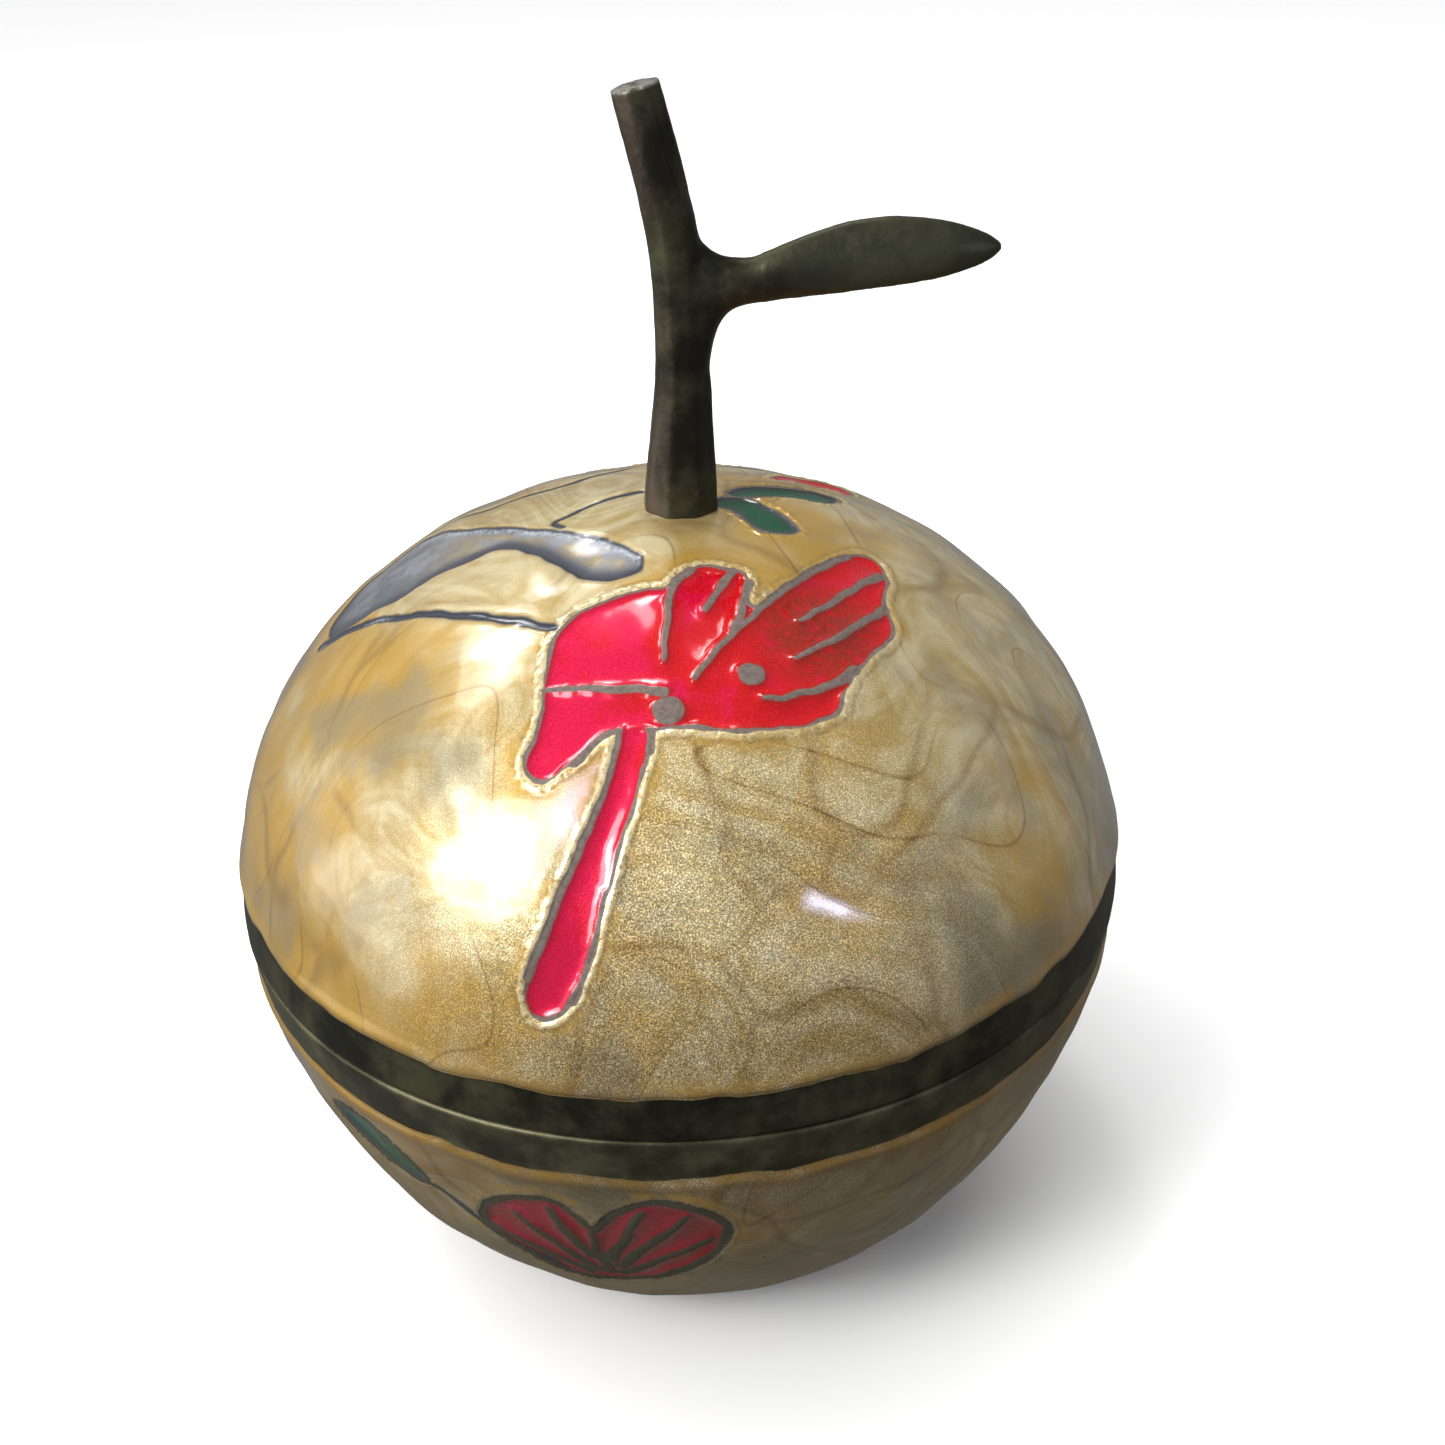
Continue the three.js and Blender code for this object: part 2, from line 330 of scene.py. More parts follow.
def pearlMaterial(name, plan, brass, shade):
    paint = Paint(name)
    grain = paint.noise(paint.place(plan["grainPerMm"]), 1, 0.4)
    bead = paint.noise(paint.place(plan["beadPerMm"]), 3, 0.65)
    crust = paint.noise(paint.place(plan["crustPerMm"]), 2, 0.6)
    depth = paint.noise(paint.place(plan["depthPerMm"]), 3, 0.6)
    ground, glitter = pearlGround(paint, plan, grain)
    across = paint.place(1).part("X")
    red = paint.mask("redArea")
    green = paint.mask("greenArea")
    steel = paint.mask("steelArea")
    steelShadedEdge = paint.mask("steelShadedEdge")
    steelLitEdge = paint.mask("steelLitEdge")
    pink = paint.mask("pinkArea")
    wire = paint.mask("wireLine")
    edge = paint.mask("enamelEdge")
    inside = paint.mask("insideShell")

    ground = paint.mix(edge.ramp(*plan["rimAmber"]) * depth.ramp(0.3, 0.6) * 0.8, ground, plan["amber"])
    # painted shade: the enamel darkens near the rim, except towards the left
    rimShade = edge.ramp(*plan["rimShadow"]) * across.ramp(*plan["shadowSide"]) * 0.60
    ground = paint.mix(rimShade, ground, plan["shadow"], "MULTIPLY")
    # painted shade: the whole ground is multiplied by the shade colour, white on the lid and grey on the bowl
    ground = paint.mix(1, ground, shade, "MULTIPLY")
    # a pale pink tint beside the tube, partly a painted glare
    colour = paint.mix(pink.ramp(*plan["blushAndGlare"]) * 0.7, ground, plan["pink"])
    outside = red.ramp(0.05, 0.20)
    halo = outside * red.ramp(*plan["halo"]) * depth.ramp(0.42, 0.6)
    colour = paint.mix(halo * 0.6, colour, plan["amber"])
    broken = crust.ramp(0.34, 0.54) * depth.ramp(0.28, 0.46)
    broken = broken * across.ramp(*plan["borderSide"], 0.15, 1)          # less of it towards the right
    colour = paint.mix(outside * red.ramp(*plan["borderEdge"]) * broken, colour, plan["border"])
    rimLine = red.ramp(0.75, 0.95) * red.ramp(1.3, 1.05) * bead.ramp(0.4, 0.55)
    colour = paint.mix(rimLine * 0.4, colour, plan["vein"])

    leftward = across.ramp(*plan["magentaSide"]) * 0.30
    redTone = paint.mix((depth + leftward).ramp(0.50, 0.80), plan["red"], plan["magenta"])
    patch = paint.away(plan["rubyPlace"]).ramp(*plan["rubyReach"])
    redTone = paint.mix(patch * bead.ramp(0.25, 0.55) * 0.85, redTone, plan["ruby"])
    redTone = paint.mix(grain.ramp(0.54, 0.70) * 0.20, redTone, plan["glint"])
    redTone = paint.mix(wire.ramp(0.45, 0.05) * 0.35, redTone, plan["ruby"])
    isRed = red.within(plan["redSoft"])
    colour = paint.mix(isRed, colour, redTone)
    greenTone = paint.mix(green.ramp(-1.1, -0.4), plan["green"], plan["greenEdge"])
    colour = paint.mix(green.within(plan["greenSoft"]), colour, greenTone)
    silver = paint.mix(depth.ramp(0.35, 0.65), plan["silver"], plan["steelMid"])
    hint = depth.ramp(0.38, 0.60) * steel.ramp(*plan["leafShine"]) * across.ramp(*plan["hintSide"]) * 0.75
    silver = paint.mix(hint, silver, ground)
    # painted shade: the steel leaves darken along their lower edges
    silver = paint.mix(steelShadedEdge.ramp(-1.8, 0.4) * 0.95, silver, plan["steelDark"])
    silver = paint.mix(across.ramp(*plan["steelDarkSide"]) * 0.8, silver, plan["steelDark"])
    # painted highlight: bright silver along the steel leaves' upper edges
    topHighlight = steelLitEdge.ramp(-0.5, 0.7) * steelLitEdge.ramp(2.0, 1.5) * crust.ramp(0.35, 0.60)
    silver = paint.mix(topHighlight * 0.8, silver, plan["steelHighlight"])
    silver = paint.mix(steel.ramp(-0.10, -0.75), plan["steel"], silver)
    colour = paint.mix(steel.within(plan["steelSoft"]), colour, silver)
    isWire = wire.within(plan["lineSoft"])
    wireTone = paint.mix(crust.ramp(0.35, 0.70) * 0.5, plan["wire"], plan["wireDark"])
    colour = paint.mix(isWire, colour, wireTone)

    metal = edge.within(plan["lineSoft"])
    brassColour, brassRough = brassLook(paint, brass)
    colour = paint.mix(metal, colour, brassColour)
    colour = paint.mix(inside, colour, plan["inside"])
    glaze = (1 - metal) * (1 - isWire) * (1 - inside)
    rough = grain.ramp(0.3, 0.7, *plan["roughness"]) - isRed * 0.06
    glazeMetal = plan["metallic"] - isRed * 0.10
    bareMetal = brass["metallic"] - isWire * 0.7
    paint.shade(
        BaseColor=colour,
        Metallic=glaze * glazeMetal + (1 - glaze) * bareMetal,
        Roughness=rough * glaze + brassRough * (1 - glaze),
        CoatWeight=glaze,
        CoatRoughness=plan["coatRoughness"],
        Normal=paint.bump(grain * glaze * glitter, plan["grainDepth"], 0.5),
    )
    paint.put(paint.shader.inputs["Coat IOR"], plan["coatIor"])
    paint.put(paint.shader.inputs["Specular IOR Level"], plan["specular"])
    return paint.material


bowlShadedPearl = {                               # the bowl's flowers, wires and border are made darker and duller than the lid's: painted shade
    "red": rgb(0.24, 0.010, 0.012),
    "magenta": rgb(0.28, 0.016, 0.035),
    "ruby": rgb(0.11, 0.012, 0.008),
    "border": rgb(0.20, 0.18, 0.12),
    "wire": rgb(0.085, 0.080, 0.055),
    "wireDark": rgb(0.050, 0.048, 0.032),
}
bowlBrass = {                               # and its brass is a little paler
    "dark": rgb(0.060, 0.057, 0.034),
    "olive": rgb(0.160, 0.150, 0.088),
}


def brassMaterial(name, plan):
    paint = Paint(name)
    colour, rough = brassLook(paint, plan)
    pits = paint.noise(paint.place(plan["pitsPerMm"]), 4, 0.6)
    side = paint.place(1).part("X")
    streak = paint.noise(paint.place(plan["streaksPerMm"], (1, 1, 0.25)), 4, 0.6)
    # painted highlight: brown streaks down the twig's left side, where the light falls on it
    colour = paint.mix(side.ramp(*plan["litBrownSide"]) * streak.ramp(0.36, 0.60) * 0.8, colour, plan["litBrown"])
    colour = paint.mix(side.ramp(*plan["leafSide"]) * 0.75, colour, plan["leafFace"])
    sawn = paint.mask("sawnEnd").ramp(*plan["sawnFrom"])
    colour = paint.mix(sawn * pits.ramp(0.35, 0.55), colour, plan["sawn"])
    paint.shade(BaseColor=colour, Metallic=plan["metallic"], Roughness=rough,
                Normal=paint.bump(pits, plan["pitDepth"], 0.5))
    return paint.material


enamel = pearlMaterial("pearl_enamel", pearlPlan, brassPlan, rgb(1, 1, 1))
# painted shade: the bowl's enamel is multiplied by this grey
bowlEnamel = pearlMaterial("bowl_enamel", {**pearlPlan, **bowlShadedPearl}, {**brassPlan, **bowlBrass},
                           rgb(0.70, 0.68, 0.70))
darkBrass = brassMaterial("dark_brass", brassPlan)
print("materials made")


# Flat shapes of the pattern. Distances are in millimetres, and negative inside an area.
def rounded(points, closed=True, rounds=2):
    line = np.array(points, float)
    for _ in range(rounds):                 # corner cutting
        after = np.roll(line, -1, 0) if closed else line[1:]
        before = line if closed else line[:-1]
        cut = np.stack([before * 0.75 + after * 0.25, before * 0.25 + after * 0.75], 1).reshape(-1, 2)
        line = cut if closed else np.vstack([line[:1], cut, line[-1:]])
    return line


def fromSegment(places, a, b):              # share along it, and distance from it
    along = b - a
    share = np.clip((places - a) @ along / max(along @ along, 1e-12), 0, 1)
    return share, np.hypot(*(places - a - share[:, None] * along).T)


def lineDistance(places, line, closed=False):
    starts = line if closed else line[:-1]
    ends = np.roll(line, -1, 0) if closed else line[1:]
    nearest = np.full(len(places), 1e9)
    for a, b in zip(starts, ends):
        nearest = np.minimum(nearest, fromSegment(places, a, b)[1])
    return nearest


def strokeDistance(places, line, startHalf, endHalf):
    halves = np.linspace(startHalf, endHalf, len(line))
    nearest = np.full(len(places), 1e9)
    for a, b, half, nextHalf in zip(line, line[1:], halves, halves[1:]):
        share, away = fromSegment(places, a, b)
        nearest = np.minimum(nearest, away - half - (nextHalf - half) * share)
    return nearest


def areaDistance(places, line):
    inside = np.zeros(len(places), bool)
    x, y = places.T
    for (ax, ay), (bx, by) in zip(line, np.roll(line, -1, 0)):
        if ay != by:
            crosses = (ay > y) != (by > y)
            inside ^= crosses & (x < (bx - ax) * (y - ay) / (by - ay) + ax)
    return np.where(inside, -1, 1) * lineDistance(places, line, True)


def smoothStep(rimShade, high, value):
    share = np.clip((value - rimShade) / (high - rimShade), 0, 1)
    return share * share * (3 - 2 * share)


def roughness(points, size, seed, octaves):
    shift = Vector((seed, seed * 1.7, seed * 0.6))
    return np.array([noise.fractal(Vector(p) / size + shift, 1.0, 2.0, octaves) for p in points])


def handDrawn(places, amount, size):        # shifts the pattern a little, as a hand would
    flat = np.column_stack([places, np.zeros(len(places))])
    return places + amount * np.column_stack([roughness(flat, size, 11.0, 2), roughness(flat, size, 17.0, 2)])


# Section of the two enamel surfaces, as radius over the distance from the seam
lidCurve = {"rise": (lidHigh.z - lidLow.z) / mm, "drop": 10.8, "power": 2.59}
bowlCurve = {"rise": 49.1, "drop": 13.0, "power": 2.44}
shellPlan = {
    "seamRadius": lidHigh.x / mm,
    "enamelRise": 0.3,
    "wall": 1.6,
    "lipHeight": 3.0,
    "lipRoot": 4.0,
    "lipThickness": 1.2,
    "clearance": 0.25,
    "chamfer": 0.3,
    # faces nearer to a line of the pattern than "refined" are cut finer
    "lid": {"turns": 288, "rimHeight": 4.1, "rimEnd": 5.9, "refined": 0.75, "cuts": 3, "seed": 3.0},
    "bowl": {"turns": 320, "rimHeight": 4.6, "rimEnd": 6.3, "refined": 1.1, "cuts": 2, "seed": 9.0},
    "rimStep": 0.22,
    "step": 0.9,
    "insideStep": 3.0,
    "footWidth": 3,
    "footRecess": 0.3,
    "edgeStep": 0.55,
    "edgeWave": 0.55,
    "bead": 0.1,
    "beadPlace": 0.9,
    "beadWidth": 0.6,
    "wear": 0.035,
    "wearSize": 3.0,
}
nearSkin = 0.8                              # a vertex this near to the skin is on the outside
skinSeam = shellPlan["seamRadius"] + shellPlan["enamelRise"]


def skinWidth(distance, curve):
    reach = (distance + curve["drop"]) / (curve["rise"] + curve["drop"])
    return np.sqrt(np.clip(1 - np.clip(reach, 0, 1) ** curve["power"], 0, 1))


def skinRadius(distance, curve):
    return skinSeam * skinWidth(distance, curve) / skinWidth(0, curve)


def skinSlope(radius, distance, curve, farthest=None):  # how far off the surface, and its two slopes
    full = curve["rise"] + curve["drop"]
    across = skinSeam / skinWidth(0, curve)
    reach = np.clip((distance + curve["drop"]) / full, 1e-6, farthest)
    miss = (radius / across) ** 2 + reach ** curve["power"] - 1
    return miss, 2 * radius / across ** 2, curve["power"] / full * reach ** (curve["power"] - 1)


def skinNormal(radius, distance, curve):
    _, out, up = skinSlope(radius, distance, curve, 1)
    size = np.hypot(out, up)
    return out / size, up / size


def onSkin(radius, distance, curve):        # a few Newton steps onto the surface
    for _ in range(4):
        miss, out, up = skinSlope(radius, distance, curve)
        size = out ** 2 + up ** 2
        radius = radius - miss * out / size
        distance = distance - miss * up / size
    return radius, distance


def sectionArc(curve, angles):              # heights, radii and length along the section
    heights = curve["rise"] * np.sin(angles)
    radii = skinRadius(heights, curve)
    return heights, radii, np.concatenate([[0], np.cumsum(np.hypot(np.diff(radii), np.diff(heights)))])


def arcFromCrown(distance, curve):          # length of the section from the pole down to a distance
    heights, _, arc = sectionArc(curve, np.linspace(0, math.pi / 2, 1500))
    return np.interp(distance, heights, arc[-1] - arc)


def skinLine(curve, start, end, step):
    angles = np.linspace(math.asin(start / curve["rise"]), math.asin(min(1, end / curve["rise"])), 4000)
    heights, radii, arc = sectionArc(curve, angles)
    picked = np.linspace(0, arc[-1], max(2, round(arc[-1] / step)) + 1)
    return [(np.interp(a, arc, radii), np.interp(a, arc, heights)) for a in picked]


def insetLine(points, curve, wall):
    moved = []
    for radius, distance in points:
        out, up = skinNormal(radius, distance, curve)
        moved.append((max(0.0, radius - wall * out), distance - wall * up))
    return moved


def turnedShell(profile, turns):
    bm = bmesh.new()
    verts = [bm.verts.new((radius, 0, height)) for radius, height in profile]
    for a, b in zip(verts, verts[1:]):
        bm.edges.new((a, b))
    bmesh.ops.spin(bm, geom=bm.verts[:] + bm.edges[:], axis=(0, 0, 1), cent=(0, 0, 0),
                   angle=2 * math.pi, steps=turns, use_merge=True)
    bmesh.ops.remove_doubles(bm, verts=bm.verts, dist=0.004)
    bmesh.ops.recalc_face_normals(bm, faces=bm.faces)
    return bm


def finishPiece(name, bm, material, node, masks):
    bmesh.ops.scale(bm, vec=(mm, mm, mm), verts=bm.verts)
    mesh = bpy.data.meshes.new(name)
    bm.to_mesh(mesh)
    bm.free()
    mesh.shade_smooth()
    for key, values in masks.items():
        layer = mesh.attributes.new(key, "FLOAT", "POINT")
        layer.data.foreach_set("value", np.asarray(values, np.float32))
    mesh.materials.append(material)
    piece = bpy.data.objects.new(name, mesh)
    scene.collection.objects.link(piece)
    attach(piece, "root")
    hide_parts(node)
    print(name, sum(len(p.vertices) - 2 for p in mesh.polygons), "triangles")


# The lid's pattern on its flattened plan: the crown is the origin, +X right and -Y to the front.
flowerPlan = {
    "petals": [
        (-11.3, -23.6), (-11.0, -21.5), (-10.0, -17.8), (-7.9, -16.2), (-5.0, -15.0), (-1.5, -14.0),
        (-0.3, -14.4), (0.4, -12.8), (2.0, -11.2), (3.6, -10.9), (4.8, -11.8), (6.3, -11.7),
        (7.0, -12.9), (6.5, -16.2), (7.9, -16.7), (10.0, -13.6), (12.6, -11.2), (15.3, -7.9),
        (17.6, -5.7), (19.4, -6.2), (20.2, -8.8), (19.7, -11.6), (19.4, -13.2), (20.0, -15.0),
        (19.8, -17.2), (18.2, -19.4), (15.8, -22.3), (14.9, -24.5), (14.5, -26.3), (12.8, -27.8),
        (9.6, -29.0), (6.3, -29.5), (3.0, -29.4), (0.4, -29.0), (-2.0, -29.1), (-4.6, -29.1),
        (-6.3, -29.2), (-7.8, -30.1), (-9.2, -31.3), (-10.9, -32.4), (-12.4, -32.3), (-13.4, -31.1),
        (-13.3, -29.8), (-12.3, -28.4), (-11.6, -26.6),
    ],
    "tube": [
        (-4.9, -28.6), (-6.1, -33.0), (-7.5, -36.0), (-9.0, -38.6), (-10.9, -41.4), (-13.0, -44.6),
        (-15.2, -47.6), (-16.0, -49.0), (-15.8, -50.5), (-14.4, -51.5), (-12.7, -51.3), (-11.2, -50.3),
        (-9.5, -48.3), (-8.1, -45.3), (-7.0, -42.6), (-6.0, -40.2), (-4.9, -37.6), (-3.8, -34.9),
        (-2.8, -32.0), (-2.1, -28.6),
    ],
    "wires": [
        [(-11.4, -23.9), (-6.7, -24.7), (-1.0, -25.6)],
        [(-0.9, -22.5), (-0.6, -18.9), (-0.3, -15.4), (0.6, -13.2), (1.8, -11.7)],
        [(2.9, -17.0), (4.1, -14.3), (5.5, -11.9)],
        [(1.7, -24.4), (3.7, -21.6), (5.6, -19.1), (7.9, -16.4), (10.5, -13.0), (13.4, -9.9), (16.4, -6.8)],
        [(5.0, -19.7), (6.1, -16.9), (7.0, -13.4)],
        [(11.2, -17.3), (13.9, -14.9), (16.8, -11.5), (19.4, -8.7)],
        [(10.5, -21.8), (13.5, -19.7), (16.4, -16.9), (19.4, -13.6)],
        [(7.6, -26.4), (10.6, -25.7), (13.3, -24.4), (16.0, -22.1)],
        [(-4.8, -28.9), (-6.3, -29.2), (-7.7, -30.1), (-9.0, -31.3)],
        [(-4.9, -29.3), (-6.1, -33.1), (-7.5, -36.0), (-9.0, -38.6), (-10.9, -41.4), (-13.0, -44.6),
         (-15.3, -47.8)],
        [(-7.0, -42.2), (-8.1, -45.3), (-9.5, -48.3), (-11.2, -50.4)],
        [(-2.0, -29.4), (-2.5, -31.0)],
    ],
    "dots": [((6.6, -24.0), 1.15), ((-0.6, -27.4), 1.35)],
    # the pale pink patch beside the tube: part pink tint, part painted glare
    "blushAndGlare": [
        (-5.4, -29.9), (-8.1, -32.1), (-10.5, -33.5), (-11.0, -36.5), (-10.2, -39.0), (-8.2, -36.0),
        (-6.6, -32.6),
    ],
    "wireHalf": (0.22, 0.46),
    "borderHalf": 0.17,
    "borderUneven": 0.9,
    "borderUnevenSize": 2.6,
    "wobble": 0.22,
    "wobbleSize": 2.0,
}
leafPlan = {
    "steel": [
        [(-20.4, 5.2), (-15.7, 1.6), (-11.6, -1.6), (-7.7, -4.4), (-4.0, -7.1), (-2.4, -9.0), (-2.2, -10.6),
         (-3.1, -12.2), (-5.4, -12.7), (-7.6, -12.0), (-9.2, -10.4), (-11.3, -7.7), (-13.7, -5.2),
         (-15.8, -3.4), (-19.6, -3.6), (-24.4, -4.4), (-28.0, -4.6), (-33.0, -3.4), (-37.0, -1.4),
         (-35.0, 4.5), (-31.2, 9.0), (-27.0, 11.4), (-23.6, 8.6)],
    ],
    "stem": [(-37.5, -1.2), (-31.4, -4.8), (-27.7, -7.0), (-23.9, -9.6), (-18.7, -12.7), (-14.8, -15.0),
             (-10.4, -17.6)],
    "stemHalf": 0.5,
    "vine": [(-2.5, 3.8), (-4.8, 2.7), (-7.8, 1.3), (-9.7, 0.2), (-11.0, -0.7), (-9.8, -2.2)],
    "vineHalf": 0.36,
    "edgeShift": (0.5, 1.1),
    "green": [
        [(3.6, 0.4), (4.8, 2.4), (7.8, 2.4), (9.4, 0.8), (11.1, -1.6), (12.2, -3.6), (11.5, -5.0),
         (8.8, -5.3), (7.4, -4.2), (6.4, -1.2)],
        [(5.2, 3.4), (7.4, 5.6), (10.8, 6.2), (14.1, 7.4), (17.0, 8.2), (17.6, 6.8), (15.5, 4.2),
         (12.4, 3.6), (9.3, 3.0), (6.7, 1.9)],
    ],
    "rearRed": [(9.6, 8.6), (12.6, 9.6), (17.2, 11.0), (20.4, 14.4), (18.2, 17.0), (13.0, 14.0)],
}
backFlower = {
    "petals": [(-1.0, 20.0), (-6.0, 21.0), (-9.5, 24.5), (-9.0, 28.5), (-5.0, 30.0), (-1.8, 29.0),
               (0.2, 31.0), (4.0, 32.5), (8.0, 30.5), (9.0, 26.0), (6.5, 22.0), (2.8, 20.6)],
    "wires": [[(-0.4, 22.5), (-4.0, 24.2), (-6.6, 26.4)], [(-0.2, 23.0), (0.2, 26.5), (-0.6, 29.0)],
              [(0.2, 22.6), (3.8, 24.6), (6.0, 27.4)]],
    "stem": [(-0.4, 20.8), (-3.0, 15.0), (-9.0, 11.0), (-17.0, 9.5), (-24.0, 12.0)],
    "steel": [[(2.0, 18.0), (8.0, 15.0), (15.0, 16.0), (20.0, 21.0), (14.0, 21.5), (7.0, 20.0)]],
}


def unionDistance(places, areas):
    nearest = np.full(len(places), 1e3)
    for area in areas:
        nearest = np.minimum(nearest, areaDistance(places, rounded(area)))
    return nearest


def borderWire(places, nearest):
    flat = np.column_stack([places, np.zeros(len(places))])
    uneven = flowerPlan["borderUneven"] * roughness(flat, flowerPlan["borderUnevenSize"], 23.0, 2)
    return abs(nearest) - flowerPlan["borderHalf"] * (1 + uneven)


def lidMasks(places):
    places = handDrawn(places, flowerPlan["wobble"], flowerPlan["wobbleSize"])
    red = unionDistance(places, [flowerPlan["petals"], flowerPlan["tube"], backFlower["petals"],
                                 leafPlan["rearRed"]])
    green = unionDistance(places, leafPlan["green"])
    leaves = leafPlan["steel"] + backFlower["steel"]
    steel = unionDistance(places, leaves)
    steelShadedEdge = unionDistance(places - leafPlan["edgeShift"], leaves)      # above 0 along the lower edges, for their painted shade
    # above 0 along the upper edges, for their painted highlight
    steelLitEdge = unionDistance(places + leafPlan["edgeShift"], leaves)
    wire = borderWire(places, np.minimum(abs(red), abs(green)))
    for line in flowerPlan["wires"] + backFlower["wires"]:
        wire = np.minimum(wire, strokeDistance(places, rounded(line, False), *flowerPlan["wireHalf"]))
    for centre, radius in flowerPlan["dots"]:
        wire = np.minimum(wire, np.hypot(*(places - centre).T) - radius)
    for line in (leafPlan["stem"], backFlower["stem"]):
        steel = np.minimum(steel, lineDistance(places, rounded(line, False)) - leafPlan["stemHalf"])
    vine = lineDistance(places, rounded(leafPlan["vine"], False)) - leafPlan["vineHalf"]
    steel = np.minimum(steel, vine)
    blushAndGlare = areaDistance(places, rounded(flowerPlan["blushAndGlare"]))
    return {"redArea": red, "greenArea": green, "steelArea": steel, "wireLine": wire, "pinkArea": blushAndGlare,
            "steelShadedEdge": steelShadedEdge, "steelLitEdge": steelLitEdge}


# How far the surface stands off the plain enamel, in millimetres
reliefPlan = {
    "sink": 0.12,
    "hollow": 0.26,
    "meniscus": 0.5,
    "wireTop": -0.08,
    "border": 0.11,
    "borderPlace": 0.55,
    "borderWidth": 0.30,
    "beadSize": 0.55,
    "steelSink": 0.16,
    "steelHollow": 0.16,
    "steelMeniscus": 1.1,
    "uneven": 0.26,
    "unevenSize": 8.0,
    "ripple": 0.012,
    "rippleSize": 2.4,
}


def patternRelief(points, masks, plan):
    cell = np.minimum(masks["redArea"], masks["greenArea"])
    lump = roughness(points, plan["beadSize"], 4.0, 2)
    fromWire = np.clip(masks["wireLine"], 0, None)          # enamel rises to each wire
    trough = plan["sink"] + plan["hollow"] * (1 - np.exp(-fromWire / plan["meniscus"]))
    height = -smoothStep(0.35, -0.15, cell) * trough
    ridge = np.exp(-((cell - plan["borderPlace"]) / plan["borderWidth"]) ** 2)
    height += plan["border"] * ridge * np.clip(0.6 + 1.5 * lump, 0, 1.7)
    steel = masks["steelArea"]
    height -= plan["steelSink"] * smoothStep(0.5, -0.4, steel)
    height -= plan["steelHollow"] * (1 - np.exp(np.minimum(steel, 0) / plan["steelMeniscus"]))
    flat = smoothStep(0.12, -0.08, masks["wireLine"])
    height = height * (1 - flat) + plan["wireTop"] * flat
    height += plan["ripple"] * roughness(points, plan["rippleSize"], 6.0, 1)
    return height + plan["uneven"] * roughness(points, plan["unevenSize"], 1.0, 2)


def rimRelief(points, edge, distance, plan):
    step = smoothStep(0.0, plan["edgeStep"], edge)
    bead = plan["bead"] * np.exp(-((edge - plan["beadPlace"]) / plan["beadWidth"]) ** 2)
    chamfer = np.clip(plan["chamfer"] - distance, 0, None)
    wear = plan["wear"] * roughness(points, plan["wearSize"], 7.0, 2)
    return -plan["enamelRise"] * (1 - step) + bead + (wear - chamfer) * (1 - step)


def edgeWave(angles, base, seed):
    wave = np.array([noise.fractal(Vector((math.cos(a) * 7 + seed, math.sin(a) * 7, seed)), 1, 2, 4)
                     for a in angles])
    return base + shellPlan["edgeWave"] * wave


def shellPlaces(bm, curve, seamHeight, side, start):    # of its vertices, and which are on the outside
    points = np.array([v.co for v in bm.verts])
    radius = np.hypot(points[:, 0], points[:, 1])
    angle = np.arctan2(points[:, 1], points[:, 0])
    distance = (points[:, 2] - seamHeight) * side
    outer = (distance > start) & (radius > skinRadius(distance, curve) - nearSkin) & (distance < curve["end"])
    return points, radius, angle, distance, outer


# Moves the outside of a turned shell onto its exact curve, then by its relief, and returns its masks.
def dressShell(bm, curve, seamHeight, side, part, chart, masksOf):
    points, radius, angle, distance, outer = shellPlaces(bm, curve, seamHeight, side, -0.01)
    skinR, skinD = onSkin(radius, np.maximum(distance, 0), curve)
    rimPart = distance < 1.0
    skinR = np.where(rimPart, skinRadius(distance, curve), skinR)
    skinD = np.where(rimPart, distance, skinD)
    out, up = skinNormal(skinR, skinD, curve)
    base = np.stack([skinR * np.cos(angle), skinR * np.sin(angle), seamHeight + side * skinD], 1)
    masks = masksOf(chart(skinR, skinD, angle))
    edge = skinD - edgeWave(angle, part["rimHeight"], part["seed"])
    height = patternRelief(base, masks, reliefPlan) * smoothStep(0, 1.5, edge)
    height = height + rimRelief(base, edge, skinD, shellPlan)
    moved = base + height[:, None] * np.stack([out * np.cos(angle), out * np.sin(angle), side * up], 1)
    keep = np.where(side > 0, np.maximum(moved[:, 2], seamHeight), np.minimum(moved[:, 2], seamHeight))
    moved[:, 2] = keep
    points = np.where(outer[:, None], moved, points)
    for vert, place in zip(bm.verts, points):
        vert.co = place
    far = 1e2
    masks = {key: np.where(outer, value, far) for key, value in masks.items()}
    masks["enamelEdge"] = np.where(outer, edge, 5.0)
    masks["insideShell"] = np.where(outer, 0.0, 1.0)
    return masks


def refine(bm, near, cuts):
    faces = [f for f in bm.faces if any(near[v.index] for v in f.verts)]
    edges = list({e: None for f in faces for e in f.edges})   # each once, in the same order every run
    bmesh.ops.subdivide_edges(bm, edges=edges, cuts=cuts, use_grid_fill=True)


def patternNear(bm, curve, seamHeight, side, chart, masksOf, reach):
    bm.verts.index_update()
    _, radius, angle, distance, outer = shellPlaces(bm, curve, seamHeight, side, 3)
    masks = masksOf(chart(radius, distance, angle))
    nearest = np.minimum(abs(masks["steelArea"]), abs(masks["redArea"]))
    nearest = np.minimum(nearest, np.minimum(abs(masks["greenArea"]), abs(masks["wireLine"])))
    return outer & (nearest < reach)


# Lid
def lidChart(radius, distance, angle):
    arc = arcFromCrown(distance, lidCurve)
    return np.stack([arc * np.cos(angle), arc * np.sin(angle)], 1)


